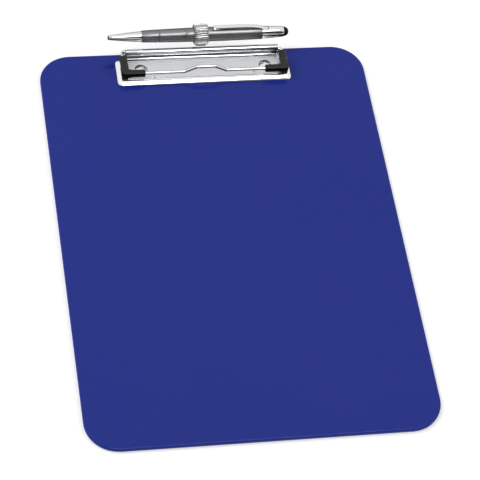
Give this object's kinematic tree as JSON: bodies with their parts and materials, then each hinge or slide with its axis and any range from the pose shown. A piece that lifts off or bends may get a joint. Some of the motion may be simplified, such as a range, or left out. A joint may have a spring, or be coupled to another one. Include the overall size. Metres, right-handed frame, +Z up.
{
  "type": "clipboard with sprung wire clip, pen loop and twist pen",
  "caption": "A4 clipboard with a sprung wire bail clip on a pressed base plate, black rubber corners, a coiled-spring pen loop on the hinge barrel and a twist ballpoint pen with a stylus end",
  "frame": {"origin": "centre of the board's underside, where it rests on a table", "axes": "X across the page to the right, +Y along the page toward the clip, +Z up out of the writing face"},
  "size_m": [0.23, 0.3297, 0.0264],
  "materials": {
    "board_plastic": "smooth glossy blue plastic board with fine moulding marks",
    "clip_chrome": "bright chromed steel",
    "rivet_steel": "plated steel, lightly polished",
    "black_rubber": "matt black rubber",
    "spring_steel": "drawn spring wire, pale grey",
    "pen_chrome": "bright chrome",
    "pen_gunmetal": "satin gunmetal lacquer over brass",
    "pen_plastic": "natural acetal, satin",
    "refill_plastic": "translucent white tube",
    "refill_brass": "turned brass"
  },
  "bodies": {
    "base": {"board": "board_plastic", "base_plate": "clip_chrome", "rivet_left": "rivet_steel", "rivet_right": "rivet_steel", "washer_left": "rivet_steel", "washer_right": "rivet_steel", "loop_strap": "spring_steel", "loop_spring": "spring_steel"},
    "bail": {"bail_wire": "clip_chrome", "rubber_corner_left": "black_rubber", "rubber_corner_right": "black_rubber"},
    "pen": {"pen_nose_cone": "pen_chrome", "pen_lower_barrel": "pen_gunmetal", "pen_guide_tube": "pen_plastic", "pen_return_spring": "spring_steel"},
    "pen_upper": {"pen_upper_barrel": "pen_gunmetal", "pen_cam_sleeve": "pen_plastic", "pen_cap_sleeve": "pen_chrome", "pen_clip": "pen_chrome", "pen_clip_stud": "pen_chrome", "pen_stylus_tip": "black_rubber"},
    "refill": {"pen_follower": "pen_plastic", "pen_refill_tube": "refill_plastic", "pen_refill_tip": "refill_brass", "pen_refill_ball": "rivet_steel"}
  },
  "joints": [
    {"name": "bail_hinge", "type": "hinge", "parent": "base", "child": "bail", "pos_m": [0, 0.1549, 0.0099], "axis": [-1, 0, 0], "range_deg": [0, 80], "stiffness_Nm_per_rad": 0.12, "springref_deg": -45.84},
    {"name": "pen_slide", "type": "slide", "parent": "base", "child": "pen", "axis": [1, 0, 0], "range_m": [0, 0.075]},
    {"name": "pen_twist", "type": "hinge", "parent": "pen", "child": "pen_upper", "pos_m": [-0.0118, 0.16196, 0.01859], "axis": [-1, 0, 0], "range_deg": [0, 180]},
    {"name": "refill_slide", "type": "slide", "parent": "pen", "child": "refill", "axis": [-1, 0, 0], "range_m": [0, 0.0046], "deforming": ["pen_return_spring"]}
  ],
  "couplings": [
    {"joint": "refill_slide", "follows": "pen_twist", "m_per_rad": 0.0014324}
  ]
}
